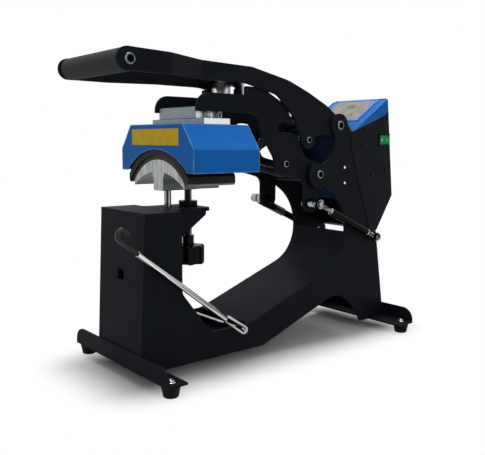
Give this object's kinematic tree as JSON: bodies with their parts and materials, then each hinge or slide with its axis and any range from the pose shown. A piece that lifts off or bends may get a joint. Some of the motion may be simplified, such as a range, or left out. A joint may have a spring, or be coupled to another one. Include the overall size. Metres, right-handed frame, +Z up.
{
  "type": "cap heat press",
  "caption": "Bench press for caps: a lever handle closes a curved heated platen onto a curved lower platen, with gas springs, magnet latch and hold-down lever.",
  "frame": {"origin": "on the table under the middle of the press, at the centre of its bounding box seen from above", "axes": "+X to the operator's right, +Y from the operator towards the control box, +Z up"},
  "size_m": [0.258, 0.5598, 0.4405],
  "materials": {
    "frame_paint": "matt fine-textured powder coat, dark blue grey",
    "box_paint": "matt powder coat, dark blue grey",
    "cover_paint": "smooth semi-gloss powder coat, bright blue",
    "bezel_paint": "smooth semi-gloss powder coat, bright blue",
    "aluminium": "milled and brushed",
    "chrome": "polished plating",
    "steel": "bright zinc plated",
    "platen_coating": "dark non-stick coating",
    "silicone": "grey silicone rubber",
    "rubber": "black rubber",
    "foam": "dark grey closed-cell foam",
    "vinyl": "black dipped vinyl",
    "black_plastic": "moulded black plastic",
    "conduit_plastic": "black corrugated nylon",
    "black_paint": "gloss black enamel",
    "green_plastic": "translucent green moulded plastic",
    "screen_glass": "pale display window",
    "screen_frame": "light blue printed overlay"
  },
  "bodies": {
    "frame": {"side_plate_right": "frame_paint", "side_plate_left": "frame_paint", "column_front": "frame_paint", "column_rear": "frame_paint", "top_plate": "frame_paint", "gussets": "frame_paint", "beam_web": "frame_paint", "foot_bar_front": "frame_paint", "foot_bar_rear": "frame_paint", "rubber_feet": "rubber", "main_shaft": "steel", "handle_shaft": "steel", "gas_lower_studs": "steel", "control_box": "box_paint", "bezel": "bezel_paint", "screen_surround": "screen_frame", "screen": "screen_glass", "switch_frame": "black_plastic", "power_inlet": "black_plastic"},
    "platen_arm": {"arm_plate_right": "frame_paint", "arm_plate_left": "frame_paint", "pivot_tube": "frame_paint", "head_block": "aluminium", "head_plate": "aluminium", "head_spacers": "steel", "cover": "cover_paint", "heat_platen": "platen_coating", "heater_posts": "steel", "magnet_seat": "frame_paint", "electromagnet": "chrome", "link_pins": "steel", "gas_upper_studs": "steel", "conduit": "conduit_plastic", "conduit_glands": "black_plastic"},
    "links": {"link_right": "steel", "link_left": "steel"},
    "handle": {"handle_plate_right": "frame_paint", "handle_plate_left": "frame_paint", "grip_bar": "steel", "grip": "foam", "armature": "steel", "drag_pins": "steel", "handle_hub": "frame_paint"},
    "gas_tubes": {"gas_tube_right": "black_paint", "gas_tube_left": "black_paint", "gas_fitting_right": "chrome", "gas_fitting_left": "chrome"},
    "gas_rods": {"gas_rod_right": "chrome", "gas_rod_left": "chrome"},
    "platen_lift": {"lower_platen": "aluminium", "silicone_pad": "silicone", "guide_rod": "steel"},
    "adjuster": {"spindle": "steel", "star_knob": "black_plastic"},
    "lock_nut": {"lock_nut": "steel"},
    "hold_down_lever": {"lever_crossbar": "chrome", "lever_hairpin": "chrome", "lever_rod": "chrome", "lever_hook": "vinyl"},
    "rocker": {"rocker": "green_plastic"}
  },
  "joints": [
    {"name": "platen_arm_lift", "type": "hinge", "parent": "frame", "child": "platen_arm", "pos_m": [0, 0.09311, 0.2756], "axis": [-1, 0, 0], "range_deg": [0, 32]},
    {"name": "handle_lift", "type": "hinge", "parent": "frame", "child": "handle", "pos_m": [0, 0.13861, 0.3543], "axis": [-1, 0, 0], "range_deg": [0, 40]},
    {"name": "link_swing", "type": "hinge", "parent": "platen_arm", "child": "links", "pos_m": [0, 0.02661, 0.293], "axis": [1, 0, 0], "range_deg": [0, 58]},
    {"name": "gas_spring_swing", "type": "hinge", "parent": "frame", "child": "gas_tubes", "pos_m": [0, 0.22011, 0.1654], "axis": [1, 0, 0], "range_deg": [-2, 0.5]},
    {"name": "gas_spring_stroke", "type": "slide", "parent": "gas_tubes", "child": "gas_rods", "axis": [0, -0.9101, 0.4144], "range_m": [0, 0.027]},
    {"name": "platen_height", "type": "slide", "parent": "frame", "child": "platen_lift", "axis": [0, 0, 1], "range_m": [-0.0105, 0]},
    {"name": "adjuster_turn", "type": "hinge", "parent": "platen_lift", "child": "adjuster", "pos_m": [0, -0.11939, 0.2], "axis": [0, 0, 1], "range_deg": [-2160.5, 0]},
    {"name": "lock_nut_turn", "type": "hinge", "parent": "frame", "child": "lock_nut", "pos_m": [0, -0.11939, 0.2363], "axis": [0, 0, 1], "continuous": true},
    {"name": "lever_swing", "type": "hinge", "parent": "frame", "child": "hold_down_lever", "pos_m": [0, -0.06839, 0.0498], "axis": [-1, 0, 0], "range_deg": [-25, 15]},
    {"name": "rocker_tilt", "type": "hinge", "parent": "frame", "child": "rocker", "pos_m": [0.06, 0.25211, 0.3318], "axis": [0, 0, 1], "range_deg": [0, 16]}
  ],
  "couplings": [
    {"joint": "handle_lift", "follows": "platen_arm_lift", "ratio": 1.25},
    {"joint": "link_swing", "follows": "platen_arm_lift", "ratio": 1.798},
    {"joint": "gas_spring_swing", "follows": "platen_arm_lift", "ratio": -0.027},
    {"joint": "gas_spring_stroke", "follows": "platen_arm_lift", "m_per_rad": 0.04748},
    {"joint": "adjuster_turn", "follows": "platen_height", "rad_per_m": 3590.4}
  ]
}
